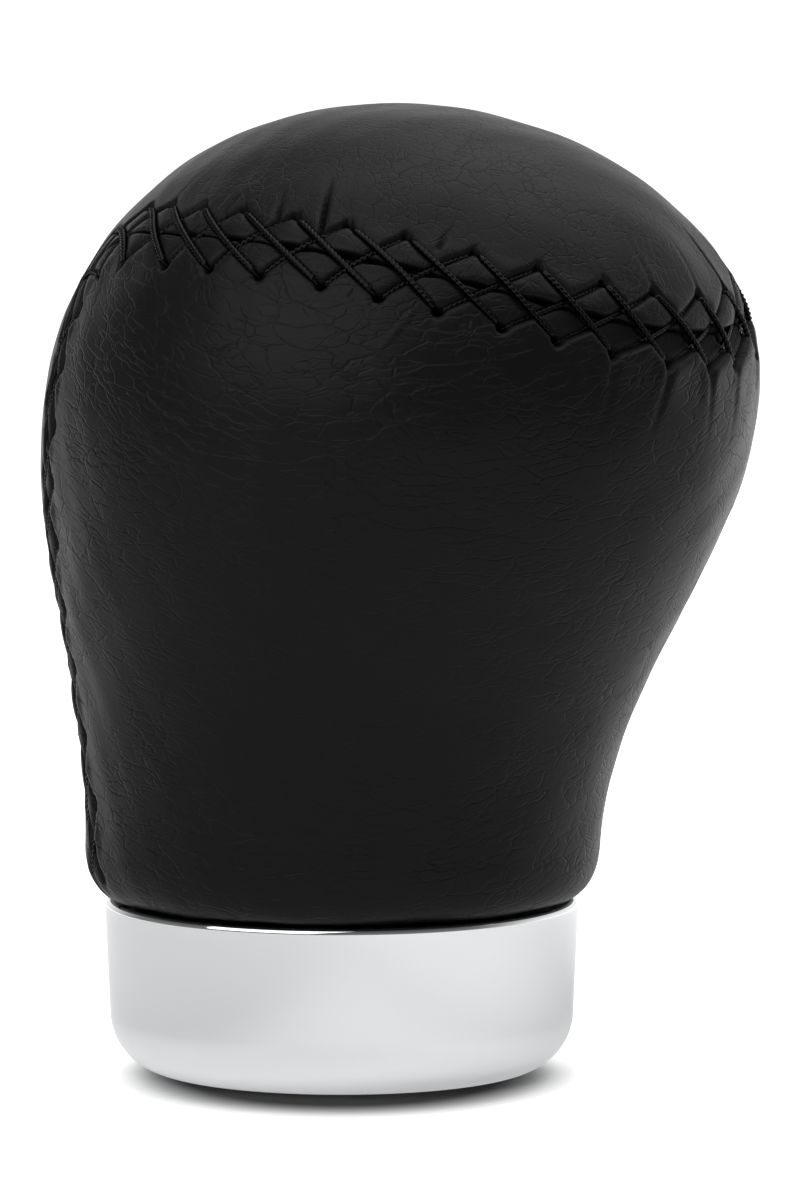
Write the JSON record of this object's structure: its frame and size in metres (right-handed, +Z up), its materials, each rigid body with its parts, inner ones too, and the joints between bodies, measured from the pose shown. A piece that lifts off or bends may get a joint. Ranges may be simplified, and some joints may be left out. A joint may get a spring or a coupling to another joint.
{
  "type": "gear shift knob",
  "caption": "Leather-covered gear shift knob with a leaning domed head, a cross-stitched seam and a chrome ring nut that unscrews to reach the grub screws gripping the lever.",
  "frame": {"origin": "on the lever bore's axis at its mouth, in the plane that the chrome collar stands on", "axes": "+Z up the lever, out of the crown; the head leans towards -Y, the driver; X is across, with the knob's form alike on both sides"},
  "size_m": [0.054, 0.0549, 0.0736],
  "materials": {
    "leather": "black full-grain leather, fine pebble grain, low sheen",
    "thread": "black twisted, waxed sewing thread",
    "core_plastic": "moulded, matte",
    "hub_metal": "turned, black anodised",
    "screw_steel": "blackened steel",
    "sleeve_nylon": "natural nylon",
    "collar_chrome": "polished chrome plate"
  },
  "bodies": {
    "knob": {"grip_panel": "leather", "crown_panel": "leather", "seam_thread": "thread", "core": "core_plastic", "hub": "hub_metal", "grub_screws": "screw_steel", "lever_sleeve": "sleeve_nylon"},
    "ring_nut": {"collar": "collar_chrome"}
  },
  "joints": [
    {"name": "collar_unscrew", "type": "slide", "parent": "ring_nut", "child": "knob", "axis": [0, 0, 1], "range_m": [0, 0.0085]}
  ]
}
